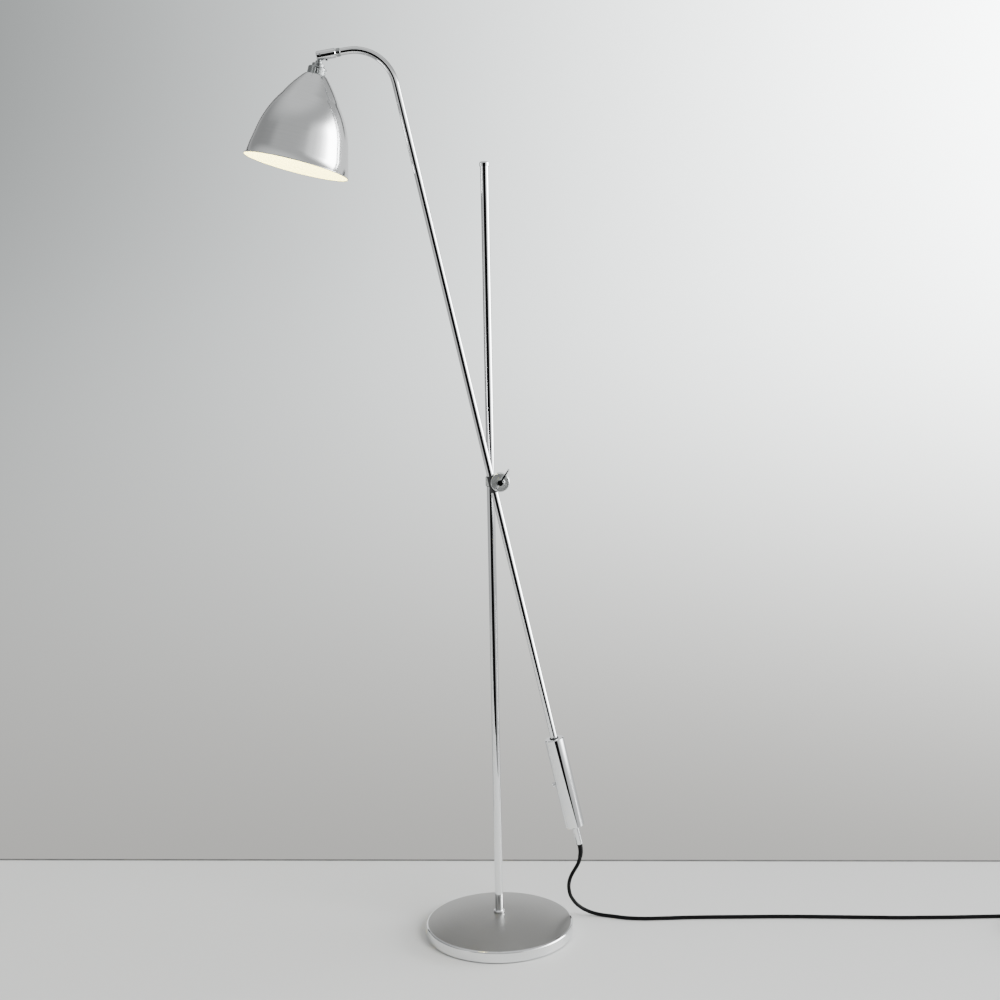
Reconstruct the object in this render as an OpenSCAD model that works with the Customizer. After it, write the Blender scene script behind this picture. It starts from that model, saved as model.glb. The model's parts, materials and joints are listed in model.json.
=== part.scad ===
// Adjustable arm floor lamp. A weighted round base carries an upright mast. A two-way clamp on the
// mast holds a counterweighted arm, and the arm's bent end carries a metal shade on a knuckle.
// Millimetres. The origin is the middle of the base's underside and +Z is up. The arm leans in a
// plane parallel to XZ, in front of the mast, which is the -Y side.

/* [Base] */
// Diameter of the base
base_d = 235; // [210:1:270]
// Height of the base's upright rim
base_rim_h = 18.5; // [15:0.5:22]
// Height of the flat land in the middle of the base
base_crown_h = 33; // [28:0.5:36]
// Thickness of the spun cover over the base
cover_t = 1.2; // [0.8:0.1:2]

/* [Mast] */
// Outside diameter of the mast
mast_d = 12.7; // [12:0.1:13.5]
// Height of the mast's top end
mast_top = 1206; // [1100:1:1300]

/* [Clamp] */
// Height of the clamp's bolt
clamp_h = 726; // [600:1:850]
// Diameter of the clamp's discs
disc_d = 29; // [27:0.5:32]
// Height of the strap round the mast
strap_h = 13.6; // [12:0.1:16]

/* [Arm] */
// Outside diameter of the arm
arm_d = 11; // [10.6:0.1:11.4]
// Lean of the arm from upright
arm_lean = 12.4; // [8:0.1:18]
// Length of the arm's straight part above the clamp
arm_above = 618; // [560:1:660]
// Length of the arm's straight part below the clamp
arm_below = 586; // [576:1:600]
// Radius of the bend at the arm's top, to its middle line
bend_r = 62.5; // [50:0.5:80]
// Angle that the bend turns through
bend_a = 86.6; // [80:0.1:95]

/* [Counterweight] */
// Diameter of the counterweight
weight_d = 30; // [26:0.5:30]
// Length of the counterweight
weight_l = 145; // [120:1:152]

/* [Shade] */
// Diameter of the shade's mouth
shade_d = 160; // [150:1:176]
// Height of the shade
shade_h = 137.6; // [134:0.2:145]
// Tilt of the shade from straight down
shade_lean = 14.5; // [5:0.5:25]

/* [Cord] */
// Diameter of the cord
cord_d = 6; // [5.5:0.1:6.2]

/* [Hidden] */

$fn = 96;
fit = 0.05;              // running clearance on a radius
eps = 1;                 // overlap of a cutting tool past a face

base_r = base_d / 2;
base_edge_r = 3;         // rounding of the rim's top edge
pad_h = 1.5;
land_r = 12;             // radius of the flat land under the foot collar
stud_r = 4;
recess_r = 13;           // recess for the nut under the base weight
recess_h = 11;
washer_t = 1.6;
nut_r = 7.5;
nut_h = 6.5;
foot_collar_r = 8.8;
foot_collar_h = 3.5;

mast_r = mast_d / 2;
tube_wall = 1;
cap_h = 7;

arm_r = arm_d / 2;
arm_bore = arm_r - tube_wall;
arm_y = -22;             // plane of the arm, in front of the mast
arm_offset = 12.1;       // from the clamp's bolt to the arm's middle line
bolt_x = 14.8;
bolt_r = 3;
liner_t = 0.6;
strap_t = 1;
mast_liner_r = mast_r + fit + liner_t;
mast_strap_r = mast_liner_r + fit + strap_t;
arm_groove_r = arm_r + 2 * fit + liner_t;
ear_gap = 0.3;           // half of the gap between the strap's ears
ear_t = 1.2;
ear_face = ear_gap + ear_t;    // from the clamp's middle plane to an ear's outer face
rear_washer_t = 1.2;
bolt_head_h = 4.6;
bolt_l = 45.5;
spacer_r = 8;                  // radius of the boss between the strap and the jaws
spacer_t = 4;                  // thickness of the spacer's disc
jaw_floor = 2;           // metal behind the groove of a jaw
jaw_gap = 0.3;           // half of the gap between the two jaws
jaw_back = -arm_y - arm_groove_r - jaw_floor;   // distances in front of the mast's middle
jaw_front = -arm_y + arm_groove_r + jaw_floor;
nut_back = jaw_front + 1.3;    // where the wing nut starts, past the front washer
wing_a = 57;             // angle of the wing nut's long wing above level
wing_long = 25;
wing_short = 13.5;
wing_t = 2.4;

end_straight = 17;       // straight tube past the bend
barrel_from = 17.3;      // distances along the arm's end, from the end of the bend
barrel_to = 46.4;
spigot_to = 34.3;
ball_at = 40.6;
barrel_r = 7.25;
barrel_screw_at = 32.4;
ball_r = 5.5;
pin_r = 1.5;

weight_top = -411;       // distance along the arm, from the clamp's bolt
weight_r = weight_d / 2;
weight_screw_at = -484;
bush_r = 6.4;
bush_l = 20;
bush_rim_r = 7.2;
bush_rim_t = 1.2;

// heights in the shade's own frame, from the knuckle's middle down
neck_top = -8.4;
neck_ring_top = -12.5;
cap_top = -17.9;
stem_bottom = -23.5;     // lower end of the knuckle's thread
holder_top = -25.5;
shade_top = -29.7;
holder_bottom = -62;
holder_r = 12;
holder_cap_r = 14;
cap_hollow = 9.4;        // height of the hollow in the holder's cap
cap_nut_h = 2.8;
thread_r = 4.4;          // radius of the knuckle's thread
wire_r = 1.7;
insert_z = -36;
bulb_z = -86;
bulb_r = 22.5;
shade_t = 1;
shade_top_r = 17;
shade_low_a = 12.6;      // slope of the shade's lower wall from its axis
shade_high_a = 36.5;     // slope of its upper wall
shade_arc_r = 150;       // the arc between the two walls
shade_rim_r = shade_d / 2;

// the cord's route: down from the arm's lower end, back to the floor and away to the right
cord_r = cord_d / 2;
cord_sides = 10;
relief_r = 4.2;
hanging_points = [
  [128.8, -22, 151.1], [129.9, -22, 146.1], [130.6, -21, 137.5], [129.7, -18, 128], [127.4, -12, 116],
  [123, -4, 104], [117.5, 4, 91], [114, 12, 78], [113, 20, 66], [114, 27, 54], [116.5, 34, 43],
  [121, 40, 33], [127, 45, 24], [135, 49, 16], [144, 51, 10], [155, 51, 5.6], [168, 49, 3.2]];
floor_points = [
  [168, 49, 3.2], [185, 43, 3.2], [208, 35, 3.2], [236, 31, 3.2], [266, 31, 3.2], [300, 32, 3.2],
  [335, 32, 3.2], [372, 31, 3.2], [410, 30, 3.2], [449, 29, 3.2], [489, 27, 3.2], [529, 24, 3.2],
  [569, 21, 3.2], [609, 18, 3.2], [648, 15, 3.2], [688, 14, 3.2], [728, 13, 3.2], [768, 13, 3.2],
  [808, 13, 3.2], [842, 13, 3.2]];
tail_points = [[904, -30, 9.4], [904, -42, 9], [902, -54, 8.2], [898, -66, 7.2],
  [891, -76, 7], [882, -84, 7], [871, -89, 7], [859, -92, 7]];
relief_end = 3;          // the route point at which the strain relief ends
coil_x = 860;            // the coil's middle
coil_y = -30;
coil_inner = 21;
coil_outer = 47.2;
coil_h = 12.6;
tie_a = 200;             // where on the coil its tie is
tie_t = 1.2;
tie_w = 8;
plug_neck_l = 14;
plug_grip_l = 10;
plug_face_l = 14;
plug_h = 13;
plug_w = 35;
pin_y = 9.3;             // half of the distance between the plug's pins

// frames of the leaning parts

module on_bolt(front = 0) translate([bolt_x, -front, clamp_h]) rotate([90, 0, 0]) children();

module on_arm(along = 0)
  translate([bolt_x, arm_y, clamp_h]) rotate([0, -arm_lean, 0]) translate([-arm_offset, 0, along])
    children();

module on_arm_end(along = 0)
  on_arm(arm_above) translate([-bend_r, 0, 0]) rotate([0, -bend_a, 0]) translate([bend_r, 0, along])
    children();

module on_shade(up = 0)
  on_arm_end(ball_at) rotate([0, arm_lean + bend_a + shade_lean, 0]) translate([0, 0, up])
    children();

// shared shapes

module ring(outer, inner, h) rotate_extrude() translate([inner, 0]) square([outer - inner, h]);

module edged_ring(outer, inner, h, edge)
  rotate_extrude() polygon([[inner, 0], [outer - edge, 0], [outer, edge], [outer, h - edge],
    [outer - edge, h], [inner, h]]);

module hex_nut(r, bore, h) difference() {
  cylinder(r = r, h = h, $fn = 6);
  translate([0, 0, -eps]) cylinder(r = bore, h = h + 2 * eps);
}

function arc(centre, r, from, to, steps) =
  [for (i = [0:steps]) let (a = from + (to - from) * i / steps)
    [centre[0] + r * cos(a), centre[1] + r * sin(a)]];

function reversed(list) = [for (i = [len(list) - 1:-1:0]) list[i]];

// base

function crown_z(r) = base_crown_h - (base_crown_h - base_rim_h)
  * pow(max(0, r - land_r) / (base_r - base_edge_r - land_r), 2);

// the base's outline from its middle hole to its foot, moved inward
function base_outline(hole, inward) = concat(
  [[hole, base_crown_h - inward]],
  [for (i = [0:10]) let (r = land_r + (base_r - base_edge_r - land_r) * i / 10)
    [r, crown_z(r) - inward]],
  arc([base_r - base_edge_r, base_rim_h - base_edge_r], base_edge_r - inward, 80, 0, 5),
  [[base_r - inward, pad_h]]);

module base_pad() color("dimgray") cylinder(r = base_r - 5, h = pad_h);

module base_weight() color("slategray") difference() {
  rotate_extrude() polygon(concat(base_outline(stud_r + 0.2, cover_t + 0.2), [[stud_r + 0.2, pad_h]]));
  translate([0, 0, pad_h - eps]) cylinder(r = recess_r, h = recess_h - pad_h + eps);
}

module base_cover() color("darkgray")
  rotate_extrude() polygon(concat(base_outline(stud_r + 0.2, 0),
    reversed(base_outline(stud_r + 0.2, cover_t))));

module base_stud() color("silver") translate([0, 0, pad_h + 1]) cylinder(r = stud_r, h = 58);

module base_washer() color("silver")
  translate([0, 0, recess_h - washer_t]) ring(recess_r - 1, stud_r, washer_t);

module base_nut() color("silver")
  translate([0, 0, recess_h - washer_t - nut_h]) hex_nut(nut_r, stud_r, nut_h);

module foot_collar() color("gainsboro")
  translate([0, 0, base_crown_h]) edged_ring(foot_collar_r, mast_r, foot_collar_h, 0.8);

// mast

module mast_insert() color("silver")
  translate([0, 0, base_crown_h]) ring(mast_r - tube_wall, stud_r, 30);

module mast_tube() color("gainsboro")
  translate([0, 0, base_crown_h]) ring(mast_r, mast_r - tube_wall, mast_top - base_crown_h);

module mast_cap() color("gainsboro") translate([0, 0, mast_top]) rotate_extrude()
  polygon(concat([[0, -14], [mast_r - tube_wall - fit, -14], [mast_r - tube_wall - fit, 0], [7.5, 0]],
    arc([5, cap_h - 2.5], 2.5, 0, 90, 5), [[0, cap_h + 0.5]]));

// clamp

module mast_liner() color("black")
  translate([0, 0, clamp_h - strap_h / 2 - 1]) ring(mast_liner_r, mast_r + fit, strap_h + 2);

// a strap round the mast whose two ears meet on the bolt
module mast_strap() color("silver") difference() {
  union() {
    translate([0, 0, clamp_h - strap_h / 2]) cylinder(r = mast_strap_r, h = strap_h);
    translate([0, -ear_face, clamp_h - strap_h / 2]) cube([bolt_x, 2 * ear_face, strap_h]);
    on_bolt(-ear_face) cylinder(r = strap_h / 2, h = 2 * ear_face);
  }
  translate([0, 0, clamp_h - strap_h]) cylinder(r = mast_liner_r + fit, h = 2 * strap_h);
  translate([0, -ear_gap, clamp_h - strap_h]) cube([bolt_x + strap_h, 2 * ear_gap, 2 * strap_h]);
  on_bolt(-strap_h) cylinder(r = bolt_r, h = 2 * strap_h);
}

module rear_washer() color("silver")
  on_bolt(-ear_face - rear_washer_t) edged_ring(6.5, bolt_r, rear_washer_t, 0.3);

module clamp_bolt() color("silver") {
  on_bolt(-ear_face - rear_washer_t) cylinder(r = bolt_r, h = bolt_l);
  on_bolt(-ear_face - rear_washer_t - bolt_head_h) rotate_extrude()
    polygon(concat([[0, 0], [3.8, 0]], arc([3.8, 2.5], 2.5, -90, 0, 4),
      [[6.3, bolt_head_h], [0, bolt_head_h]]));
}

// a broad disc against the jaws, with a boss that reaches back to the strap
module clamp_spacer() color("silver") difference() {
  union() {
    on_bolt(ear_face) cylinder(r = spacer_r, h = jaw_back - ear_face - spacer_t / 2);
    on_bolt(jaw_back - spacer_t - 0.1) edged_ring(disc_d / 2, bolt_r, spacer_t, 0.6);
  }
  translate([0, 0, clamp_h - disc_d]) cylinder(r = mast_strap_r + 0.1, h = 2 * disc_d);
  on_bolt() cylinder(r = bolt_r, h = jaw_back + eps);
}

// one of the two discs that grip the arm, with its groove
module jaw(from, to) difference() {
  on_bolt(from) edged_ring(disc_d / 2, bolt_r + 0.1, to - from, 0.8);
  on_arm(-disc_d) cylinder(r = arm_groove_r, h = 2 * disc_d);
}

module rear_jaw() color("silver") jaw(jaw_back, -arm_y - jaw_gap);

module front_jaw() color("gainsboro") jaw(-arm_y + jaw_gap, jaw_front);

module front_washer() color("silver") on_bolt(jaw_front + 0.1) edged_ring(7, bolt_r, 1, 0.3);

// one wing, out along X and forward along Z, as thick as a plate
module wing(reach) rotate([90, 0, 0]) translate([0, 0, -wing_t / 2]) linear_extrude(wing_t) {
  polygon([[3.4, 0.6], [reach - 3, 4.2], [reach - 3, 11.2], [3.4, 8]]);
  translate([reach - 3.5, 7.7]) circle(r = 3.5);
}

module wing_nut() color("gainsboro") on_bolt(nut_back) difference() {
  union() {
    cylinder(r1 = 5.5, r2 = 4.4, h = 8.5);
    rotate([0, 0, wing_a]) wing(wing_long);
    rotate([0, 0, wing_a + 180]) wing(wing_short);
  }
  translate([0, 0, -eps]) cylinder(r = bolt_r + fit, h = 12);
}

module arm_liner() color("black") on_arm(-13) ring(arm_r + fit + liner_t, arm_r + fit, 26);

// arm

// a rod that follows the arm's middle line, from one end of it to the other
module arm_line(r, below, past) {
  on_arm(-below) cylinder(r = r, h = below + arm_above);
  on_arm(arm_above) translate([-bend_r, 0, 0]) rotate([90, 0, 0])
    rotate_extrude(angle = bend_a) translate([bend_r, 0]) circle(r = r);
  on_arm_end() cylinder(r = r, h = past);
}

module arm_tube() color("gainsboro") difference() {
  arm_line(arm_r, arm_below, end_straight);
  arm_line(arm_bore, arm_below + eps, end_straight + eps);
}

module inner_lead() color("black") arm_line(cord_r, arm_below, spigot_to);

module arm_spigot() color("silver") on_arm_end(3) rotate_extrude()
  polygon([[cord_r + 0.1, 0], [arm_bore, 0], [arm_bore, barrel_screw_at - 4.6],
    [arm_bore - 0.8, barrel_screw_at - 4.6], [arm_bore - 0.8, barrel_screw_at - 1.4],
    [arm_bore, barrel_screw_at - 1.4], [arm_bore, spigot_to - 3], [cord_r + 0.1, spigot_to - 3]]);

module arm_collar() color("silver") on_arm_end(10.4) edged_ring(6.3, arm_r, 6, 0.3);

// counterweight

module counterweight() color("gainsboro") on_arm(weight_top - weight_l) difference() {
  rotate_extrude() polygon([[arm_r + 0.3, 0], [weight_r - 1, 0], [weight_r, 1],
    [weight_r, weight_l - 1], [weight_r - 1, weight_l], [bush_r, weight_l],
    [bush_r, weight_l - bush_l], [arm_r + 0.3, weight_l - bush_l]]);
  translate([0, 0, weight_screw_at - weight_top + weight_l]) rotate([0, -90, 0])
    cylinder(r = 2 + fit, h = weight_r + eps);
}

module weight_bush() color("black") on_arm(weight_top - bush_l) rotate_extrude()
  polygon([[arm_r + fit, 0], [bush_r, 0], [bush_r, bush_l], [bush_rim_r, bush_l],
    [bush_rim_r, bush_l + bush_rim_t / 2], [bush_rim_r - 0.4, bush_l + bush_rim_t],
    [arm_r + fit, bush_l + bush_rim_t]]);

module weight_screw() color("silver") on_arm(weight_screw_at) rotate([0, -90, 0]) difference() {
  union() {
    translate([0, 0, arm_r + 0.1]) cylinder(r = 2, h = weight_r - arm_r);
    translate([0, 0, weight_r + 0.3]) edged_ring(3.8, 0, 4, 0.4);
  }
  for (a = [0:30:330]) rotate([0, 0, a]) translate([4.2, 0, weight_r]) cylinder(r = 0.7, h = 6);
}

// knuckle at the arm's end

module swivel_barrel() color("gainsboro") on_arm_end() difference() {
  translate([0, 0, barrel_from]) edged_ring(barrel_r, arm_bore + fit, barrel_to - barrel_from, 1.1);
  translate([0, 0, spigot_to + 0.3]) cylinder(r = ball_r + 0.2, h = barrel_to - spigot_to - 1.3);
  translate([0, 0, ball_at]) rotate([0, -90, 0]) cylinder(r = 3.2, h = barrel_r + eps);
  translate([-barrel_r - eps, -3.2, ball_at]) cube([barrel_r + eps + 2.4, 6.4, 8]);
  translate([0, barrel_r + eps, ball_at]) rotate([90, 0, 0]) cylinder(r = pin_r, h = 2 * (barrel_r + eps));
  translate([0, 0, barrel_screw_at]) rotate([0, -90, 0]) cylinder(r = 1.2, h = barrel_r + eps);
}

module barrel_screw() color("dimgray") on_arm_end(barrel_screw_at) rotate([0, -90, 0]) {
  translate([0, 0, arm_bore - 0.5]) cylinder(r = 1.2, h = barrel_r - arm_bore + 0.5);
  translate([0, 0, barrel_r]) edged_ring(1.7, 0, 1.4, 0.3);
}

module pivot_pin() color("silver")
  on_arm_end(ball_at) translate([0, barrel_r - 0.3, 0]) rotate([90, 0, 0])
    cylinder(r = pin_r, h = 2 * (barrel_r - 0.3));

module shade_knuckle() color("silver") on_shade() difference() {
  union() {
    sphere(r = ball_r);
    translate([0, 0, neck_top]) cylinder(r = 3, h = -neck_top);
    translate([0, 0, neck_ring_top]) edged_ring(5.2, 0, neck_top - neck_ring_top, 0.5);
    translate([0, 0, stem_bottom]) cylinder(r = thread_r, h = neck_ring_top - stem_bottom);
  }
  translate([0, ball_r + eps, 0]) rotate([90, 0, 0]) cylinder(r = pin_r + fit, h = 2 * (ball_r + eps));
  translate([0, 0, stem_bottom - eps]) cylinder(r = wire_r, h = eps - stem_bottom - 2.5);
}

module neck_ring() color("silver")
  on_shade(cap_top) edged_ring(9.4, thread_r, neck_ring_top - cap_top, 0.8);

// lampholder

module holder_cap() color("silver") on_shade() difference() {
  translate([0, 0, shade_top]) edged_ring(holder_cap_r, thread_r, cap_top - shade_top, 1);
  translate([0, 0, shade_top - eps]) cylinder(r = holder_r, h = cap_hollow + eps);
  for (a = [0:15:345]) rotate([0, 0, a]) translate([holder_cap_r + 0.5, 0, shade_top + 1.4])
    cylinder(r = 0.9, h = 7.4, $fn = 24);
}

module cap_nut() color("silver")
  on_shade(shade_top + cap_hollow - cap_nut_h) hex_nut(8, thread_r, cap_nut_h);

module holder_body() color("ivory") on_shade() difference() {
  translate([0, 0, holder_bottom]) edged_ring(holder_r, 0, holder_top - holder_bottom, 0.8);
  translate([0, 0, holder_bottom - eps]) cylinder(r = 7.4, h = insert_z + 3 - holder_bottom + eps);
  translate([0, 0, insert_z]) cylinder(r = 2, h = 20);
}

module holder_insert() color("white") on_shade(insert_z) ring(7.4, 2.4, 3);

module thread_shell() color("goldenrod") on_shade(holder_bottom + 2)
  ring(7.4, 7.1, insert_z - holder_bottom - 2);

module centre_contact() color("goldenrod") on_shade(insert_z - 1.6) cylinder(r = 2.4, h = 4.6);

module holder_ring() color("ivory") on_shade() difference() {
  translate([0, 0, shade_top - shade_t - 5]) edged_ring(15.6, holder_r, 5, 0.6);
  for (a = [0:30:330]) rotate([0, 0, a]) translate([16.2, 0, shade_top - shade_t - 6])
    cylinder(r = 1.4, h = 7, $fn = 24);
}

module bulb_cap() color("silver") on_shade(insert_z - 4.2) rotate_extrude()
  polygon([[0, 0], [0, 2.6], [2.4, 2.6], [3, 1], [6.9, 0], [6.9, -22], [6.5, -22], [6.5, -1], [0, -1]]);

// a hollow golf-ball bulb: a ball on a flared neck
function bulb_outline(r, neck_r) = concat(
  [[0, bulb_z - r]], arc([0, bulb_z], r, -80, 45, 16),
  [[neck_r + 3, bulb_z + 21], [neck_r, bulb_z + 23.4], [neck_r, bulb_z + 29]]);

module bulb_glass() color("lightyellow") on_shade() rotate_extrude()
  polygon(concat(bulb_outline(bulb_r, 6.5), reversed(bulb_outline(bulb_r - 0.8, 5.7))));

// shade

shade_corner_h = (shade_h * tan(shade_high_a) - shade_rim_r + shade_top_r)
  / (tan(shade_high_a) - tan(shade_low_a));
shade_arc_h = shade_corner_h - shade_arc_r * tan((shade_high_a - shade_low_a) / 2) * cos(shade_low_a);
shade_arc_c = [shade_rim_r - shade_arc_h * tan(shade_low_a) - shade_arc_r * cos(shade_low_a),
  shade_arc_h - shade_arc_r * sin(shade_low_a)];

// the shade's wall from its rim up to its flat top, moved inward
function shade_outline(inward) = concat(
  [[shade_rim_r - inward / cos(shade_low_a), 0]],
  arc(shade_arc_c, shade_arc_r - inward, shade_low_a, shade_high_a, 10),
  [[shade_top_r + inward * (tan(shade_high_a) - 1 / cos(shade_high_a)), shade_h - inward],
    [holder_r, shade_h - inward]]);

module lamp_shade() color("silver") on_shade(shade_top - shade_h) rotate_extrude()
  polygon(concat(shade_outline(0), reversed(shade_outline(shade_t))));

// cord

// a point between two route points, on a smooth curve through their neighbours
function curve_point(p, i, u) = let (
    last = len(p) - 1,
    a = i == 0 ? 2 * p[0] - p[1] : p[i - 1],
    b = p[i],
    c = p[i + 1],
    d = i + 2 > last ? 2 * p[last] - p[last - 1] : p[i + 2])
  0.5 * (2 * b + (c - a) * u + (2 * a - 5 * b + 4 * c - d) * u * u
    + (3 * b - a - 3 * c + d) * u * u * u);

function smooth_route(p, steps) = concat(
  [for (i = [0:len(p) - 2]) for (j = [0:steps - 1]) curve_point(p, i, j / steps)],
  [p[len(p) - 1]]);

function unit(v) = v / norm(v);

function along(p, i) = unit(p[min(i + 1, len(p) - 1)] - p[max(i - 1, 0)]);

// the ring of points round place i of a route
function ring_at(p, i, r) = let (
    t = along(p, i),
    side = unit(cross(t, [0, 1, 0])),
    over = cross(side, t))
  [for (k = [0:cord_sides - 1]) let (a = 360 * k / cord_sides)
    p[i] + r * (cos(a) * side + sin(a) * over)];

// one closed tube round the places first..last of a route, from one radius to another
module swept_tube(p, first, last, r_from, r_to) {
  count = last - first;
  polyhedron(
    points = [for (i = [first:last])
      each ring_at(p, i, r_from + (r_to - r_from) * (i - first) / count)],
    faces = concat(
      [[for (k = [0:cord_sides - 1]) k]],
      [for (i = [0:count - 1]) for (k = [0:cord_sides - 1])
        let (n = (k + 1) % cord_sides, a = i * cord_sides, b = a + cord_sides)
        each [[a + k, b + k, b + n], [a + k, b + n, a + n]]],
      [[for (k = [cord_sides - 1:-1:0]) count * cord_sides + k]]));
}

cord_route = concat(hanging_points, [for (p = smooth_route(floor_points, 2)) if (p != floor_points[0]) p]);
floor_start = len(hanging_points) - 1;
route_end = len(cord_route) - 1;
tail_end = len(tail_points) - 1;

module strain_relief() color("black") swept_tube(cord_route, 0, relief_end, relief_r, cord_r + 0.5);

module cord_hanging() color("black")
  swept_tube(cord_route, relief_end, floor_start, cord_r, cord_r);

module cord_floor() color("black") swept_tube(cord_route, floor_start, route_end, cord_r, cord_r);

module cord_coil() color("black") translate([coil_x, coil_y, 0]) ring(coil_outer, coil_inner, coil_h);

module cord_tail() color("black") swept_tube(tail_points, 0, tail_end, cord_r, cord_r);

// a strap over all the turns of the coil
module cord_tie() color("dimgray") translate([coil_x, coil_y, 0]) rotate([0, 0, tie_a])
  translate([0, tie_w / 2, 0]) rotate([90, 0, 0]) linear_extrude(tie_w) difference() {
    translate([coil_inner - 0.5 - tie_t, 0])
      square([coil_outer - coil_inner + 1 + 2 * tie_t, coil_h + 0.1 + tie_t]);
    translate([coil_inner - 0.5, -eps]) square([coil_outer - coil_inner + 1, coil_h + 0.1 + eps]);
  }

// a slim two-pin plug, lying flat with its pins away from the cord
module at_plug(past = 0)
  translate(tail_points[tail_end]) rotate([0, 0, 180 + atan(3 / 12)]) translate([past, 0, 0])
    children();

module plug_body() color("black") difference() {
  union() {
    at_plug() rotate([0, 90, 0]) cylinder(r1 = cord_r + 0.6, r2 = 5.2, h = plug_neck_l);
    at_plug(plug_neck_l) translate([0, -8, -plug_h / 2]) cube([plug_grip_l, 16, plug_h]);
    at_plug(plug_neck_l + plug_grip_l) translate([0, -plug_w / 2, -plug_h / 2])
      cube([plug_face_l, plug_w, plug_h]);
  }
  for (y = [-pin_y, pin_y]) at_plug(30) translate([0, y, 0]) rotate([0, 90, 0])
    cylinder(r = 2, h = plug_face_l);
}

module plug_pins() color("silver") for (y = [-pin_y, pin_y]) at_plug(30) translate([0, y, 0])
  rotate([0, 90, 0]) cylinder(r = 2, h = 27);

base_pad();
base_weight();
base_cover();
base_stud();
base_washer();
base_nut();
foot_collar();
mast_insert();
mast_tube();
mast_cap();
mast_liner();
mast_strap();
rear_washer();
clamp_bolt();
clamp_spacer();
rear_jaw();
front_jaw();
front_washer();
wing_nut();
arm_liner();
arm_tube();
inner_lead();
arm_spigot();
arm_collar();
counterweight();
weight_bush();
weight_screw();
swivel_barrel();
barrel_screw();
pivot_pin();
shade_knuckle();
neck_ring();
holder_cap();
cap_nut();
holder_body();
holder_insert();
thread_shell();
centre_contact();
holder_ring();
lamp_shade();
bulb_cap();
bulb_glass();
strain_relief();
cord_hanging();
cord_floor();
cord_coil();
cord_tail();
cord_tie();
plug_body();
plug_pins();
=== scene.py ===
import json
import math

import bmesh
import bpy
from mathutils import Matrix, Vector


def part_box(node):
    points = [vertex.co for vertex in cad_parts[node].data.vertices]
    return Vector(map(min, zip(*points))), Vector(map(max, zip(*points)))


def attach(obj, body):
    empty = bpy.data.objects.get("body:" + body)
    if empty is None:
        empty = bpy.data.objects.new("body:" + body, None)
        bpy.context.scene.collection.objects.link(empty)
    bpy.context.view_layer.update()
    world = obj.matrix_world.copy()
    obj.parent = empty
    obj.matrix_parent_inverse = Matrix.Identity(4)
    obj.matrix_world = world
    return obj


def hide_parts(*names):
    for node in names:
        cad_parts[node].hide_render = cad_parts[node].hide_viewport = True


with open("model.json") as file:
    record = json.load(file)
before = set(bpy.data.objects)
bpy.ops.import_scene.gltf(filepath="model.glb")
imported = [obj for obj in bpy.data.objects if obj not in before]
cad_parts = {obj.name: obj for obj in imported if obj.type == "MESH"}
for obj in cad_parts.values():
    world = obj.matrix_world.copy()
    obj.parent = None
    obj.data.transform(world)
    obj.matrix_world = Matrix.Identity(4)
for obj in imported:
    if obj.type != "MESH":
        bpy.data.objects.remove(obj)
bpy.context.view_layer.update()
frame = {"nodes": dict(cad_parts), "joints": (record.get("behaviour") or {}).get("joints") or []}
joints = {joint["name"]: joint for joint in frame["joints"]}
print("frame loaded:", len(frame["nodes"]), "nodes")

# camera

camera = {"place": (0.014, -2.014, 0.890), "lens": 46.8, "film": 36,
          "down": 5.49, "roll": -1.13}


def makeCamera():
    eye = bpy.data.objects.new("camera", bpy.data.cameras.new("camera"))
    bpy.context.scene.collection.objects.link(eye)
    eye.data.lens = camera["lens"]
    eye.data.sensor_width = camera["film"]
    aim = Matrix.Rotation(math.radians(90 - camera["down"]), 4, "X")
    roll = Matrix.Rotation(math.radians(camera["roll"]), 4, "Z")
    eye.matrix_world = Matrix.Translation(camera["place"]) @ aim @ roll
    bpy.context.scene.camera = eye


makeCamera()


# shader helpers


class Wire:
    # one socket of a node tree, so that sums on it read as sums
    def __init__(self, tree, socket):
        self.tree = tree
        self.socket = socket

    def sum(self, operation, other, swapped=False):
        node = self.tree.nodes.new("ShaderNodeMath")
        node.operation = operation
        for place, item in zip(node.inputs, (other, self) if swapped else (self, other)):
            if isinstance(item, Wire):
                self.tree.links.new(item.socket, place)
            else:
                place.default_value = item
        return Wire(self.tree, node.outputs[0])

    def __add__(self, other):
        return self.sum("ADD", other)

    def __sub__(self, other):
        return self.sum("SUBTRACT", other)

    def __rsub__(self, other):
        return self.sum("SUBTRACT", other, True)

    def __mul__(self, other):
        return self.sum("MULTIPLY", other)

    def __pow__(self, other):
        return self.sum("POWER", other)

    __radd__ = __add__


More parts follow.
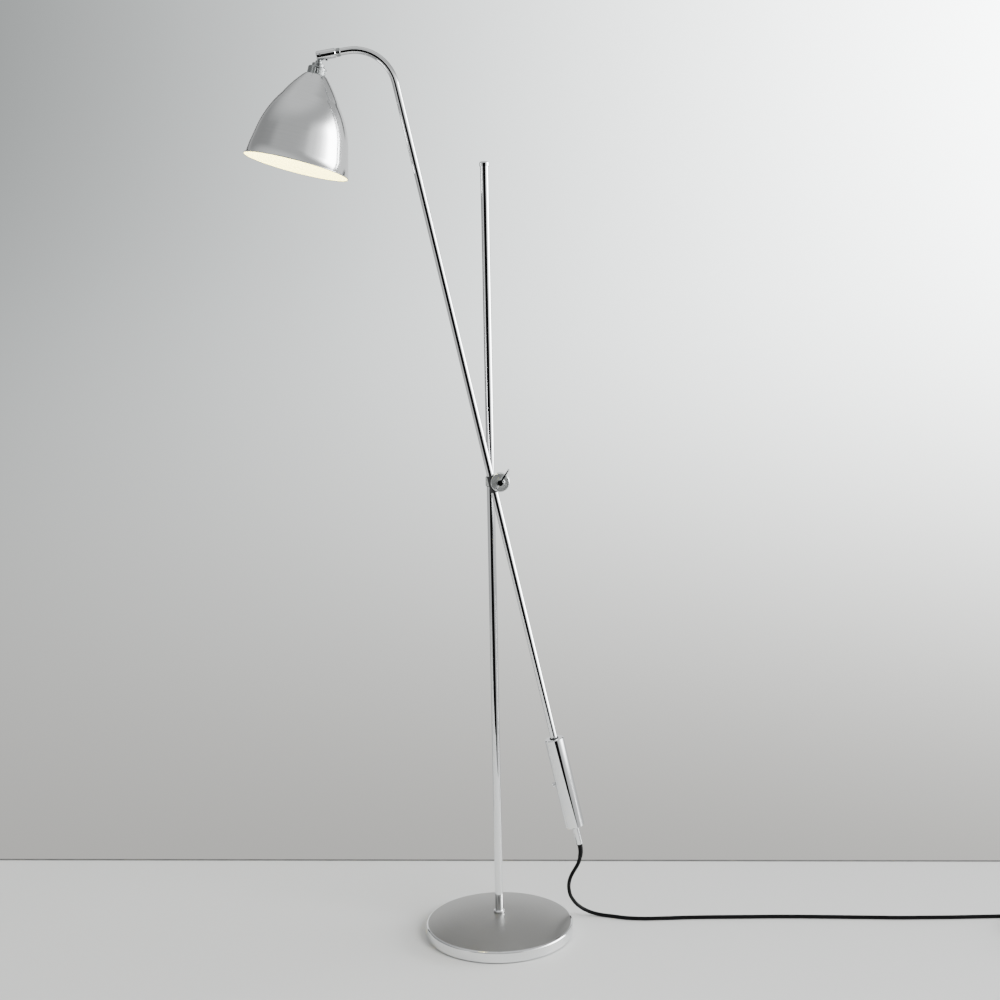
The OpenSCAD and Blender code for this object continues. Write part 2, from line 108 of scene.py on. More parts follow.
class Desk:
    # a node tree being wired up
    def __init__(self, tree):
        self.tree = tree
        tree.nodes.clear()

    def node(self, kind, settings, sockets, out=0):
        made = self.tree.nodes.new("ShaderNode" + kind)
        for name, value in settings.items():
            setattr(made, name, value)
        for name, value in sockets.items():
            if isinstance(value, Wire):
                self.tree.links.new(value.socket, made.inputs[name])
            else:
                made.inputs[name].default_value = value
        return Wire(self.tree, made.outputs[out]) if made.outputs else None

    def blend(self, amount, first, second):
        def whole(value):
            return value if isinstance(value, Wire) else (*value, 1)

        return self.node("Mix", {"data_type": "RGBA"}, {0: amount, 6: whole(first), 7: whole(second)}, 2)

    def step(self, value, start, end, low=0, high=1):
        # from low to high as the value goes from start to end
        return self.node("MapRange", {"interpolation_type": "SMOOTHSTEP"},
                         {0: value, 1: start, 2: end, 3: low, 4: high})

    def band(self, value, low, high, soft, softHigh=None):
        # 1 between low and high, with soft edges
        fall = soft if softHigh is None else softHigh
        rising = self.step(value, low - soft, low + soft)
        return rising * self.step(value, high - fall, high + fall, 1, 0)

    def parts(self, place):
        split = self.node("SeparateXYZ", {}, {0: place}).socket.node
        return [Wire(self.tree, socket) for socket in split.outputs]

    def noise(self, place, scale, detail=3, rough=0.5):
        return self.node("TexNoise", {}, {"Vector": place, "Scale": scale, "Detail": detail,
                                          "Roughness": rough})

    def place(self):
        return self.node("TexCoord", {}, {}, "Object")

    def bump(self, strength, depth, height):
        return self.node("Bump", {}, {"Strength": strength, "Distance": depth, "Height": height})


def newFinish(name):
    made = bpy.data.materials.new(name)
    made.use_nodes = True
    return made, Desk(made.node_tree)


def closeFinish(desk, shader):
    desk.node("OutputMaterial", {}, {"Surface": shader})


# finishes


# how deep the fine relief of each kind of surface is, in metres
reliefDepth = {"polished": 0.0002, "spun": 0.0003, "plain": 0.0004}
polishGrain = 900
plainPatch = 30
ringMix = {"from": 0.42, "to": 2, "soft": 0.12}


def polishedMetal(name, look):
    made, desk = newFinish(name)
    place = desk.place()
    smudge = desk.noise(place, look["smudge"], detail=4, rough=0.6)
    rough = look["rough"] + smudge * look["roughVary"]
    tone = desk.blend(smudge, look["tint"], look["tintAlt"])
    sockets = {"Base Color": tone, "Metallic": look.get("metal", 1), "Roughness": rough}
    if "bump" in look:
        fine = desk.noise(place, polishGrain, detail=2)
        sockets["Normal"] = desk.bump(look["bump"], reliefDepth["polished"], fine)
    closeFinish(desk, desk.node("BsdfPrincipled", {}, sockets))
    return made


def spunMetal(name, look, middle, axis):
    # a turned sheet metal: fine rings round the axis, and broad soft patches
    made, desk = newFinish(name)
    place = desk.place()
    away = desk.node("VectorMath", {"operation": "SUBTRACT"}, {0: place, 1: tuple(middle)})
    along = desk.node("VectorMath", {"operation": "DOT_PRODUCT"}, {0: away, 1: tuple(axis)}, "Value")
    reach = desk.node("VectorMath", {"operation": "LENGTH"}, {0: away}, "Value")
    # the small number keeps rounding from taking the sum below zero on the axis
    out = (reach * reach - along * along + 1e-9) ** 0.5
    line = desk.node("CombineXYZ", {}, {0: out, 1: along, 2: 0})
    rings = desk.noise(line, look["rings"], detail=4, rough=0.7)
    patch = desk.noise(place, look["patch"])
    rough = look["rough"] + (rings - 0.5) * look["ringRough"] + (patch - 0.5) * look["patchRough"]
    mix = desk.band(rings * 0.5 + patch * 0.5, ringMix["from"], ringMix["to"], ringMix["soft"])
    tone = desk.blend(mix, look["tint"], look["tintAlt"])
    bump = desk.bump(look["bump"], reliefDepth["spun"], rings)
    shader = desk.node("BsdfPrincipled", {}, {
        "Base Color": tone, "Metallic": 1, "Roughness": rough, "Normal": bump})
    closeFinish(desk, shader)
    return made


def plainFinish(name, look):
    # moulded plastic, rubber, enamel, felt and cast iron
    made, desk = newFinish(name)
    place = desk.place()
    grain = desk.noise(place, look["grain"], detail=5, rough=0.65)
    patch = desk.noise(place, plainPatch)
    tone = desk.blend(grain * 0.5 + patch * 0.5, look["tint"], look["tintAlt"])
    rough = look["rough"] + (grain - 0.5) * look["roughVary"] + (patch - 0.5) * look["roughVary"]
    bump = desk.bump(look["bump"], reliefDepth["plain"], grain)
    sockets = {"Base Color": tone, "Metallic": look.get("metal", 0), "Roughness": rough,
               "Normal": bump}
    # emission: on the bulb's glass it is the lamp itself, on the shade's enamel it is painted bulb light
    if "glow" in look:
        sockets["Emission Color"] = (*look["glow"], 1)
        sockets["Emission Strength"] = look["glowPower"]
    if "shine" in look:
        sockets["Specular IOR Level"] = look["shine"]
    if "sheen" in look:
        sockets["Sheen Weight"] = look["sheen"]
    closeFinish(desk, desk.node("BsdfPrincipled", {}, sockets))
    return made


chromeLook = {"tint": (0.80, 0.81, 0.82), "tintAlt": (0.86, 0.865, 0.87), "rough": 0.025,
              "roughVary": 0.02, "smudge": 14}
satinLook = {"tint": (0.74, 0.765, 0.76), "tintAlt": (0.80, 0.815, 0.81), "rough": 0.34,
             "roughVary": 0.06, "smudge": 60, "bump": 0.02, "metal": 0.87}
dullLook = {"tint": (0.34, 0.355, 0.355), "tintAlt": (0.42, 0.435, 0.435), "rough": 0.22,
            "roughVary": 0.06, "smudge": 60, "bump": 0.02}
zincLook = {"tint": (0.62, 0.63, 0.64), "tintAlt": (0.52, 0.53, 0.54), "rough": 0.24,
            "roughVary": 0.16, "smudge": 120, "bump": 0.15}
darkScrewLook = {"tint": (0.06, 0.06, 0.065), "tintAlt": (0.10, 0.10, 0.105), "rough": 0.3,
                 "roughVary": 0.15, "smudge": 200, "bump": 0.15}
brassLook = {"tint": (0.72, 0.53, 0.25), "tintAlt": (0.62, 0.44, 0.20), "rough": 0.2,
             "roughVary": 0.15, "smudge": 90, "bump": 0.1}
plainLooks = {
    "felt": {"tint": (0.05, 0.05, 0.055), "tintAlt": (0.10, 0.10, 0.10), "rough": 0.95,
             "roughVary": 0.05, "grain": 1400, "bump": 0.8, "sheen": 0.4},
    "cast_iron": {"tint": (0.10, 0.10, 0.11), "tintAlt": (0.16, 0.16, 0.165), "rough": 0.65,
                  "roughVary": 0.2, "grain": 600, "bump": 0.6, "metal": 0.6},
    "nylon": {"tint": (0.018, 0.018, 0.02), "tintAlt": (0.03, 0.03, 0.032), "rough": 0.42,
              "roughVary": 0.1, "grain": 500, "bump": 0.1},
    "holder_plastic": {"tint": (0.80, 0.76, 0.66), "tintAlt": (0.86, 0.83, 0.75), "rough": 0.35,
                       "roughVary": 0.1, "grain": 300, "bump": 0.05},
    "ceramic": {"tint": (0.84, 0.83, 0.80), "tintAlt": (0.90, 0.89, 0.87), "rough": 0.3,
                "roughVary": 0.1, "grain": 400, "bump": 0.05},
    "bulb_glass": {"tint": (0.95, 0.93, 0.86), "tintAlt": (0.98, 0.97, 0.92), "rough": 0.45,
                   "roughVary": 0.08, "grain": 700, "bump": 0.04, "glow": (1.0, 0.88, 0.60),
                   "glowPower": 18.0},
    "cord_black": {"tint": (0.0015, 0.0015, 0.0018), "tintAlt": (0.003, 0.003, 0.0034), "rough": 0.5,
                   "roughVary": 0.12, "grain": 900, "bump": 0.12, "shine": 0.12},
    "cord_rubber": {"tint": (0.002, 0.002, 0.0024), "tintAlt": (0.004, 0.004, 0.0045), "rough": 0.55,
                    "roughVary": 0.1, "grain": 700, "bump": 0.15, "shine": 0.15},
    "tie_black": {"tint": (0.02, 0.02, 0.021), "tintAlt": (0.05, 0.05, 0.05), "rough": 0.8,
                  "roughVary": 0.1, "grain": 1500, "bump": 0.6, "sheen": 0.3},
    "plug_black": {"tint": (0.014, 0.014, 0.015), "tintAlt": (0.024, 0.024, 0.025), "rough": 0.38,
                   "roughVary": 0.1, "grain": 800, "bump": 0.12},
}
finishes = {
    "chrome": polishedMetal("chrome plate", chromeLook),
    "satin": polishedMetal("satin plate", satinLook),
    "dull": polishedMetal("dull plate", dullLook),
    "zinc": polishedMetal("zinc plated steel", zincLook),
    "dark_screw": polishedMetal("blackened steel", darkScrewLook),
    "brass": polishedMetal("brass", brassLook),
    "bulb_metal": polishedMetal("nickel plated cap", zincLook),
    "plug_metal": polishedMetal("nickel plated pins", {**zincLook, "rough": 0.12}),
}
finishes.update({slot: plainFinish(slot.replace("_", " "), look)
                 for slot, look in plainLooks.items()})
print("finishes:", len(finishes))


# mesh helpers


def unitFrame(middle, axis):
    # a matrix whose Z runs along the axis
    return Matrix.Translation(middle) @ Vector(axis).to_track_quat("Z", "Y").to_matrix().to_4x4()


def addPiece(name, mesh, body, materials, replaced, matrix=None, smooth=35):
    piece = bpy.data.objects.new(name, mesh)
    bpy.context.scene.collection.objects.link(piece)
    if matrix is not None:
        mesh.transform(matrix)
    for material in materials:
        mesh.materials.append(material)
    mesh.shade_smooth()
    mesh.set_sharp_from_angle(angle=math.radians(smooth))
    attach(piece, body)
    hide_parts(*replaced)
    return piece


def lathe(name, profile, around, paint):
    # a closed profile turned about Z; paint gives each strip's material
    mesh = bpy.data.meshes.new(name)
    work = bmesh.new()
    rows = [[work.verts.new((reach * math.cos(a), reach * math.sin(a), height))
             for a in (2 * math.pi * k / around for k in range(around))]
            for reach, height in profile]
    for strip, (low, high) in enumerate(zip(rows, rows[1:] + rows[:1])):
        for k in range(around):
            n = (k + 1) % around
            face = work.faces.new((low[k], low[n], high[n], high[k]))
            face.material_index = paint[strip]
    bmesh.ops.recalc_face_normals(work, faces=work.faces)
    work.to_mesh(mesh)
    work.free()
    return mesh


curveDetail = {"round": 5, "along": 6}


def smoothCurve(name, points, radius, before=None, after=None):
    # one open spline through the points; before and after are neighbours across a joint in the cord
    data = bpy.data.curves.new(name, "CURVE")
    data.dimensions = "3D"
    data.bevel_depth = radius
    data.bevel_resolution = curveDetail["round"]
    data.resolution_u = curveDetail["along"]
    data.use_fill_caps = True
    spline = data.splines.new("BEZIER")
    spline.bezier_points.add(len(points) - 1)
    around = [before, *points, after]
    for i, knot in enumerate(spline.bezier_points):
        here = Vector(points[i])
        past = Vector(around[i] or points[i])
        ahead = Vector(around[i + 2] or points[i])
        lean = (ahead - past) / (6 if around[i] and around[i + 2] else 3)
        knot.handle_left_type = knot.handle_right_type = "FREE"
        knot.co = here
        knot.handle_left = here - lean
        knot.handle_right = here + lean
    made = bpy.data.objects.new(name, data)
    bpy.context.scene.collection.objects.link(made)
    return made


def sweep(name, spine, radii, around):
    # a closed solid along a line of points, with a radius at each of them
    mesh = bpy.data.meshes.new(name)
    work = bmesh.new()
    rows = []
    side = Vector((0, 1, 0))
    last = len(spine) - 1
    for i, (here, radius) in enumerate(zip(spine, radii)):
        along = (spine[min(i + 1, last)] - spine[max(i - 1, 0)]).normalized()
        side = (side - along * side.dot(along)).normalized()
        over = along.cross(side)
        rows.append([work.verts.new(here + (side * math.cos(a) + over * math.sin(a)) * radius)
                     for a in (2 * math.pi * k / around for k in range(around))])
    for low, high in zip(rows, rows[1:]):
        for k in range(around):
            n = (k + 1) % around
            work.faces.new((low[k], low[n], high[n], high[k]))
    work.faces.new(rows[0][::-1])
    work.faces.new(rows[-1])
    bmesh.ops.recalc_face_normals(work, faces=work.faces)
    work.to_mesh(mesh)
    work.free()
    return mesh


# the lead: it hangs from the arm's lower end and runs off to the right, where the spare is coiled

lead = {
    "diameter": 0.006,
    "exit": (0.128817, -0.022, 0.151072),
    "hanging": [
        (0.1288, -0.022, 0.1511), (0.1299, -0.022, 0.1461), (0.1306, -0.021, 0.1375),
        (0.1297, -0.018, 0.128), (0.1274, -0.012, 0.116), (0.123, -0.004, 0.104),
        (0.1175, 0.004, 0.091), (0.114, 0.012, 0.078), (0.113, 0.020, 0.066),
        (0.114, 0.027, 0.054), (0.1165, 0.034, 0.043), (0.121, 0.040, 0.033),
        (0.127, 0.045, 0.024), (0.135, 0.049, 0.016), (0.144, 0.051, 0.010),
        (0.155, 0.051, 0.0056), (0.168, 0.049, 0.0032)],
    "floor": [
        (0.168, 0.049), (0.185, 0.043), (0.208, 0.035), (0.236, 0.031), (0.266, 0.031),
        (0.300, 0.032), (0.335, 0.032), (0.372, 0.031), (0.410, 0.030), (0.449, 0.029),
        (0.489, 0.027), (0.529, 0.024), (0.569, 0.021), (0.609, 0.018), (0.648, 0.015),
        (0.688, 0.014), (0.728, 0.013), (0.768, 0.013), (0.808, 0.013), (0.842, 0.013)],
    "floorHeight": 0.0032,
    "tail": [
        (0.904, -0.042, 0.009), (0.902, -0.054, 0.0082), (0.898, -0.066, 0.0072),
        (0.891, -0.076, 0.007), (0.882, -0.084, 0.007), (0.871, -0.089, 0.007),
        (0.859, -0.092, 0.007)],
    "hangingLength": 0.199,
    "lyingLength": 2.106,
}
coil = {"middle": (0.860, -0.030), "outer": 0.043, "pitch": 0.0062, "topPitch": 0.0064,
        "innerTurn": 3, "riseFrom": 2.78, "riseTo": 3.17, "lastTurn": 6.25, "top": 0.0094, "steps": 16}


def coilPoint(turn):
    rise = min(max((turn - coil["riseFrom"]) / (coil["riseTo"] - coil["riseFrom"]), 0), 1)
    radius = (coil["outer"] - coil["pitch"] * min(turn, coil["innerTurn"])
              + coil["topPitch"] * max(turn - coil["riseTo"], 0))
    height = lead["floorHeight"] + (coil["top"] - lead["floorHeight"]) * rise * rise * (3 - 2 * rise)
    angle = math.radians(90 - 360 * turn)
    x, y = coil["middle"]
    return (x + radius * math.cos(angle), y + radius * math.sin(angle), height)


def hangingPoint(t):
    # a point on the hanging stretch, t counted in its knots
    knots = [Vector(knot) for knot in lead["hanging"]]
    i = int(t)
    u = t - i
    a, b = knots[i], knots[i + 1]
    leave = (b - knots[i - 1]) / 2 if i else b - a
    arrive = (knots[i + 2] - a) / 2
    return (a * (2 * u ** 3 - 3 * u ** 2 + 1) + leave * (u ** 3 - 2 * u ** 2 + u)
            + b * (3 * u ** 2 - 2 * u ** 3) + arrive * (u ** 3 - u ** 2))


relief = {"knots": 2.98, "wide": 0.0042, "narrow": 0.0035, "groove": 0.00055, "ribs": 8,
          "rib": (0.0, 0.05, 0.52, 0.60, 0.93), "plain": 0.16, "step": 1e-4, "endDepth": 0.6,
          "fade": 1.1, "around": 28}


def makeRelief():
    # a moulded sleeve that tapers, with a plain head and grooves below it that get shallower
    places = [(0.0, 0), (relief["plain"], 0)]
    span = (1 - relief["plain"]) / relief["ribs"]
    for rib in range(relief["ribs"]):
        start = relief["plain"] + rib * span
        rise, fullFrom, fullTo, lowFrom, lowTo = (start + part * span for part in relief["rib"])
        places += [(rise + relief["step"], 1), (fullFrom, 0), (fullTo, 0), (lowFrom, 1), (lowTo, 1)]
    places.append((1.0, relief["endDepth"]))
    spine = [hangingPoint(u * relief["knots"]) for u, depth in places]
    radii = [relief["wide"] + (relief["narrow"] - relief["wide"]) * u
             - relief["groove"] * depth * (relief["fade"] - u) for u, depth in places]
    mesh = sweep("strain_relief_sleeve", spine, radii, relief["around"])
    return addPiece("strain_relief_sleeve", mesh, "arm", [finishes["cord_rubber"]],
                    ["strain_relief"], smooth=30)


def makeCord():
    hanging = lead["hanging"]
    lying = [(*point, lead["floorHeight"]) for point in lead["floor"]]
    count = int(coil["lastTurn"] * coil["steps"])
    turns = [coilPoint(k / coil["steps"]) for k in range(count + 1)]
    radius = lead["diameter"] / 2
    drop = smoothCurve("lead_hanging", hanging, radius, after=lying[1])
    rest = smoothCurve("lead_on_floor", lying + turns + lead["tail"], radius, before=hanging[-2])
    for piece, body, nodes in ((drop, "arm", ["cord_hanging"]),
                               (rest, "stand", ["cord_floor", "cord_coil", "cord_tail"])):
        piece.data.materials.append(finishes["cord_black"])
        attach(piece, body)
        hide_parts(*nodes)
    nodes = frame["nodes"]
    makeRelief()


makeCord()
print("lead laid")


# stage

# the floor's outline, and the size of the dark strip along its back edge that paints the shade where the
# floor meets the wall
stage = {"left": -2.6, "right": 3.2, "back": 0.3037, "backSlope": -0.057, "front": -1.15,
         "corner": (0.75, -0.40), "shadowStripSize": 0.0022}
floorLook = {"tint": (0.63, 0.635, 0.63), "tintAlt": (0.67, 0.675, 0.665), "cloud": 1.6,
             "grain": 60, "rough": 0.55, "roughVary": 0.1}
# the colour of the painted shadow strip where the floor meets the wall
shadowStripLook = {"tint": (0.10, 0.10, 0.10), "tintAlt": (0.20, 0.20, 0.195), "grain": 40, "rough": 0.8}


def flatMesh(name, loops):
    mesh = bpy.data.meshes.new(name)
    work = bmesh.new()
    for loop in loops:
        work.faces.new([work.verts.new(corner) for corner in loop])
    work.to_mesh(mesh)
    work.free()
    piece = bpy.data.objects.new(name, mesh)
    bpy.context.scene.collection.objects.link(piece)
    return piece


def makeFloor():
    def back(x, shift=0.0):
        return stage["back"] + stage["backSlope"] * x + shift

    left, right, front = stage["left"], stage["right"], stage["front"]
    floor = flatMesh("floor", [[
        (left, front, 0), (0, front, 0), (*stage["corner"], 0), (right, stage["corner"][1], 0),
        (right, back(right), 0), (left, back(left), 0)]])
    made, desk = newFinish("painted floor")
    place = desk.place()
    cloud = desk.noise(place, floorLook["cloud"], detail=2)
    fine = desk.noise(place, floorLook["grain"])
    tone = desk.blend(cloud, floorLook["tint"], floorLook["tintAlt"])
    closeFinish(desk, desk.node("BsdfPrincipled", {}, {
        "Base Color": tone, "Roughness": fine * floorLook["roughVary"] + floorLook["rough"]}))
    floor.data.materials.append(made)
    # a dark strip along the floor's back edge: a painted shadow standing in for the shade where the
    # floor meets the wall
    shadowStripSize = stage["shadowStripSize"]
    shadowStrip = flatMesh("painted shadow strip", [
        [(left, back(left), 0), (right, back(right), 0),
         (right, back(right), shadowStripSize), (left, back(left), shadowStripSize)],
        [(left, back(left), shadowStripSize), (right, back(right), shadowStripSize),
         (right, back(right, shadowStripSize), shadowStripSize), (left, back(left, shadowStripSize), shadowStripSize)]])
    # the strip's dark colour is painted shadow
    dark, desk = newFinish("painted shadow strip")
    grain = desk.noise(desk.place(), shadowStripLook["grain"], detail=2)
    closeFinish(desk, desk.node("BsdfPrincipled", {}, {
        "Base Color": desk.blend(grain, shadowStripLook["tint"], shadowStripLook["tintAlt"]),
        "Roughness": shadowStripLook["rough"]}))
    shadowStrip.data.materials.append(dark)


# what polished metal sees: (turn from, to, softness), (rise from, to, softness), brightness;
# turn is 0 towards the viewer and grows to the right, a fourth number is the softness of the far
# edge, and each row is laid over the ones before
room = {
    "walls": 1.1, "red": 0.985,
    "leftLean": 0.5, "leftUpright": (-138.5, -130.5), "uprightSoft": 1, "uprightLight": 0.0,
    "rows": [
        ((-200, 200, 1), (-100, -7, 4), 0.62),       # lower walls
        ((-200, 200, 1), (25, 120, 7), 0.57),        # upper walls
        ((-200, 200, 1), (56, 120, 12), 0.85),       # ceiling
        ((-140, -58, 14), (-8, 44, 9), 0.33),        # dim left side
        ((143, 152, 2), (13, 70, 3), 0.10),          # dark upright behind on the right
        ((117, 121, 1), (-5, 34, 3), 0.45),
        ((-45, 34, 4), (-90, 17, 5), 0.006),         # dark front
        ((36, 116, 12, 1.5), (16, 33, 5, 9), 1.4),   # window at the right, fading to its left
        ((54, 116, 8, 1.5), (-5, 29, 2, 8), 2.4),
        ((69, 116, 10, 1.5), (-4, 27, 2, 6), 7.0),
        ((80, 115.5, 7, 1.5), (-3, 25, 2, 6), 18.0),
    ]}
# what the eye sees: a wall washed with light from the upper right. Brightness is counted in
# doublings: "middle" is that straight ahead and "fan" what it gains to the right, each as
# (rise from, rise to, value there, value there)
wall = {"middle": (-26, 4, -0.9, 0.95), "fan": (-24, 18, 0.4, 6.4), "most": 12.0,
        "below": 1.2, "belowFade": (-32, -26), "warm": (1.0, 0.99, 0.95), "cool": (0.955, 1.0, 1.0),
        "coolFade": (-22, 6)}


def makeWorld():
    world = bpy.data.worlds.new("studio")
    bpy.context.scene.world = world
    world.use_nodes = True
    desk = Desk(world.node_tree)
    x, y, z = desk.parts(desk.node("TexCoord", {}, {}, "Generated"))
    turn = desk.node("Math", {"operation": "ARCTAN2"}, {0: x, 1: y * -1}) * math.degrees(1)
    rise = desk.node("Math", {"operation": "ARCSINE"}, {0: z}) * math.degrees(1)
    seen = desk.node("Value", {}, {})
    seen.socket.default_value = room["walls"]
    for across, up, light in room["rows"]:
        mask = desk.band(turn, *across) * desk.band(rise, *up)
        seen = seen + (light - seen) * mask
    # a dark upright behind on the left, leaning as it rises
    lean = desk.band(turn + rise * room["leftLean"], *room["leftUpright"], room["uprightSoft"])
    seen = seen + (room["uprightLight"] - seen) * lean
    metalView = desk.node("CombineColor", {}, {0: seen * room["red"], 1: seen, 2: seen})
    doublings = desk.step(rise, *wall["middle"]) + desk.step(rise, *wall["fan"]) * x
    light = doublings.sum("POWER", 2, True).sum("MINIMUM", wall["most"])
    light = (light - wall["below"]) * desk.step(rise, *wall["belowFade"]) + wall["below"]
    tint = desk.blend(desk.step(rise, *wall["coolFade"]), wall["warm"], wall["cool"])
    wallView = desk.node("VectorMath", {"operation": "MULTIPLY"}, {0: light, 1: tint})
    colour = desk.blend(desk.node("LightPath", {}, {}, "Is Camera Ray"), metalView, wallView)
    surround = desk.node("Background", {}, {"Color": colour, "Strength": 1})
    desk.node("OutputWorld", {}, {"Surface": surround})


lights = {
    "key": {"place": (1.9, -1.5, 2.2), "aim": (0, 0, 0.4), "size": 1.4, "power": 95},
    "fill": {"place": (-1.5, -2.0, 2.4), "aim": (0, 0, 0.5), "size": 1.8, "power": 15},
}


def addLight(name, spec):
    data = bpy.data.lights.new(name, "AREA")
    data.shape = "SQUARE"
    data.size = spec["size"]
    data.energy = spec["power"]
    light = bpy.data.objects.new(name, data)
    bpy.context.scene.collection.objects.link(light)
    place = Vector(spec["place"])
    light.matrix_world = unitFrame(place, place - Vector(spec["aim"]))
    light.visible_glossy = False
    light.visible_camera = False


makeFloor()
makeWorld()
for name, spec in lights.items():
    addLight(name, spec)
print("stage set")

# base

base = {"radius": 0.1175, "rimTop": 0.0185, "edge": 0.003, "land": 0.012, "sheet": 0.0012,
        "hole": 0.0042, "polishFrom": 0.1138, "crownSteps": 48, "edgeSteps": 12,
        "edgeFrom": 78, "sideFrom": 0.0035, "toe": 0.0006, "innerTop": 0.012, "innerMiddle": 0.06,
        "innerStep": 0.001, "around": 192}
baseTopLook = {"tint": (0.35, 0.345, 0.335), "tintAlt": (0.40, 0.395, 0.385), "rough": 0.36,
               "rings": 900, "ringRough": 0.10, "patch": 9, "patchRough": 0.06, "bump": 0.05}


def makeBase():
    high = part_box("base_cover")[1].z
    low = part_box("base_cover")[0].z
    reach = base["radius"] - base["edge"]

    def crown(r):
        across = max(0, r - base["land"]) / (reach - base["land"])
        return high - (high - base["rimTop"]) * across ** 2

    steps = base["crownSteps"]
    top = [(base["hole"], high)]
    top += [(r, crown(r)) for r in (base["land"] + (reach - base["land"]) * k / steps
                                    for k in range(steps + 1))]
    edge = []
    for k in range(1, base["edgeSteps"] + 1):
        a = math.radians(base["edgeFrom"] - base["edgeFrom"] * k / base["edgeSteps"])
        edge.append((reach + base["edge"] * math.cos(a),
                     base["rimTop"] - base["edge"] * (1 - math.sin(a))))
    radius, toe, sheet = base["radius"], base["toe"], base["sheet"]
    side = [(radius, base["sideFrom"]), (radius, low + toe), (radius - toe, low)]
    inner = [(radius - sheet, low), (radius - sheet, base["innerTop"]),
             (reach - base["innerStep"], crown(reach) - sheet - toe),
             (base["innerMiddle"], crown(base["innerMiddle"]) - sheet), (base["hole"], high - sheet)]
    profile = top + edge + side + inner
    # the top is satin nearly out to its rim, and the rest is polished
    polish = [0 if i < len(top) and point[0] < base["polishFrom"] else 1
              for i, point in enumerate(profile)]
    mesh = lathe("base_shell", profile, base["around"], polish)
    finishes["base_satin"] = spunMetal("satin base top", baseTopLook, (0, 0, 0), (0, 0, 1))
    addPiece("base_shell", mesh, "stand", [finishes["base_satin"], finishes["chrome"]],
             ["base_cover"])


makeBase()
print("base turned")

# shade

ball = Vector(joints["shade_tilt"]["pos_m"])
neckLow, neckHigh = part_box("neck_ring")
shadeAxis = (ball - (neckLow + neckHigh) / 2).normalized()
shade = {"height": 0.1376, "top": -0.0297, "mouth": 0.080, "crownRadius": 0.017, "lowSlope": 12.6,
         "highSlope": 36.5, "bend": 0.150, "sheet": 0.001, "hole": 0.0121, "swell": 0.0014,
         "wallFrom": 0.0022, "wallStops": (0.35, 0.7), "arcSteps": 28, "swellSteps": 20,
         "around": 160, "shoulder": ((0.0008, -0.0009), (0.0002, -0.0003), (-0.0008, 0)),
         "beadRadius": 0.001, "beadIn": 0.6, "beadTurn": (-150, 170), "beadSteps": 8}
shadeLook = {"tint": (0.70, 0.71, 0.715), "tintAlt": (0.75, 0.755, 0.76), "rough": 0.13,
             "rings": 700, "ringRough": 0.04, "patch": 12, "patchRough": 0.05, "bump": 0.03}
# the shade's cream enamel lining; its emission is painted light, the bulb's glow painted onto the
# inside, though the enamel is no lamp
enamelAndPaintedGlowLook = {"tint": (0.90, 0.87, 0.74), "tintAlt": (0.93, 0.90, 0.78), "rough": 0.5,
              "roughVary": 0.08, "grain": 300, "bump": 0.05, "glow": (1.0, 0.92, 0.30),
              "glowPower": 3.8}


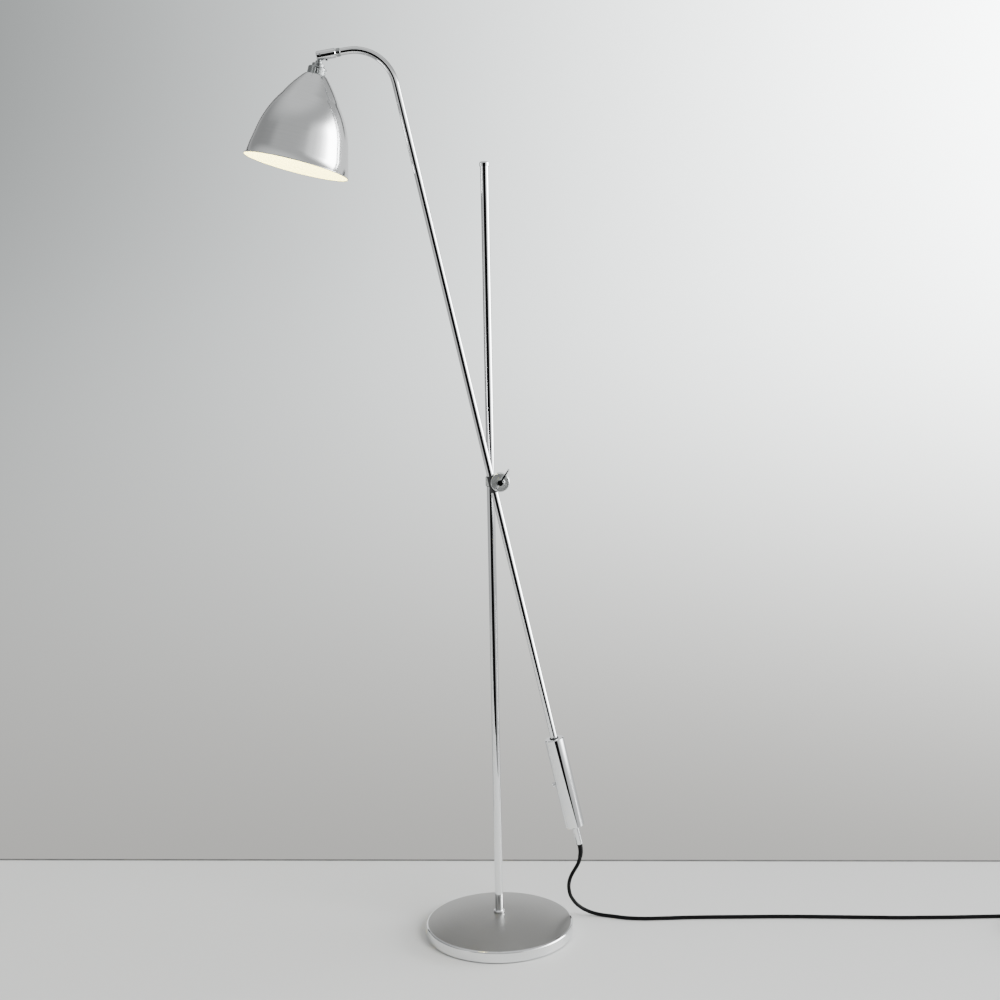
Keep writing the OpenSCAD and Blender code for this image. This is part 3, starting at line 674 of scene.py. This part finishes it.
def makeShade():
    low, steep = math.radians(shade["lowSlope"]), math.radians(shade["highSlope"])
    corner = (shade["height"] * math.tan(steep) - shade["mouth"] + shade["crownRadius"]) / (
        math.tan(steep) - math.tan(low))
    arcStart = corner - shade["bend"] * math.tan((steep - low) / 2) * math.cos(low)
    middle = (shade["mouth"] - arcStart * math.tan(low) - shade["bend"] * math.cos(low),
              arcStart - shade["bend"] * math.sin(low))

    def wall(inward):
        line = [(shade["mouth"] - inward / math.cos(low) - h * math.tan(low), h)
                for h in (shade["wallFrom"], *(arcStart * stop for stop in shade["wallStops"]))]
        for k in range(shade["arcSteps"] + 1):
            a = low + (steep - low) * k / shade["arcSteps"]
            line.append((middle[0] + (shade["bend"] - inward) * math.cos(a),
                         middle[1] + (shade["bend"] - inward) * math.sin(a)))
        # the wall above the arc swells a little towards the shoulder
        start = Vector(line[-1])
        end = Vector((shade["crownRadius"] + inward * (math.tan(steep) - 1 / math.cos(steep)),
                      shade["height"] - inward))
        outward = Vector((math.cos(steep), math.sin(steep)))
        for k in range(1, shade["swellSteps"]):
            u = k / shade["swellSteps"]
            line.append(tuple(start.lerp(end, u) + outward * shade["swell"] * 4 * u * (1 - u)))
        # a small round shoulder, and the flat crown in to its hole
        line += [(end.x + out, end.y + up) for out, up in shade["shoulder"]]
        line.append((shade["hole"], end.y))
        return line

    outside = wall(0)
    inside = wall(shade["sheet"])[::-1]
    # the mouth's rolled bead
    size = shade["beadRadius"]
    beadMiddle = shade["mouth"] - shade["sheet"] * shade["beadIn"]
    turnFrom, turn = shade["beadTurn"]
    bead = [(beadMiddle + size * math.cos(a), size + size * math.sin(a))
            for a in (math.radians(turnFrom + turn * k / shade["beadSteps"])
                      for k in range(shade["beadSteps"] + 1))]
    profile = outside + inside + bead
    paint = [0] * len(outside) + [1] * len(inside) + [0] * len(bead)
    paint[len(outside) - 1] = 1
    mesh = lathe("shade_shell", profile, shade["around"], paint)
    origin = ball + shadeAxis * (shade["top"] - shade["height"])
    finishes["shade_metal"] = spunMetal("spun aluminium", shadeLook, origin, shadeAxis)
    # the inside takes the enamel finish with its painted bulb glow
    enamel = plainFinish("cream enamel", enamelAndPaintedGlowLook)
    addPiece("shade_shell", mesh, "head", [finishes["shade_metal"], enamel],
             ["lamp_shade"], unitFrame(origin, shadeAxis))


makeShade()
print("shade spun")

# the other parts take a finish, and three get softened edges; each one's material comes named
# after its slot

# parts whose plating is duller than their slot's usual finish
plating = {**dict.fromkeys(("front_jaw", "rear_jaw", "clamp_spacer", "mast_strap", "front_washer"),
                           "satin"),
           **dict.fromkeys(("arm_collar", "holder_cap", "neck_ring", "shade_knuckle"), "dull")}
softEdges = {"plug_body": 0.0014, "wing_nut": 0.0005, "cord_tie": 0.0004}
softAngle = 40
softSteps = 3
for name, width in softEdges.items():
    soften = frame["nodes"][name].modifiers.new("soft edges", "BEVEL")
    soften.width = width
    soften.segments = softSteps
    soften.limit_method = "ANGLE"
    soften.angle_limit = math.radians(softAngle)
    soften.harden_normals = True
for name, node in frame["nodes"].items():
    slot = node.material_slots[0].material.name.split(".")[0]
    for place in node.material_slots:
        place.material = finishes[plating.get(name, slot)]
print("nodes finished")
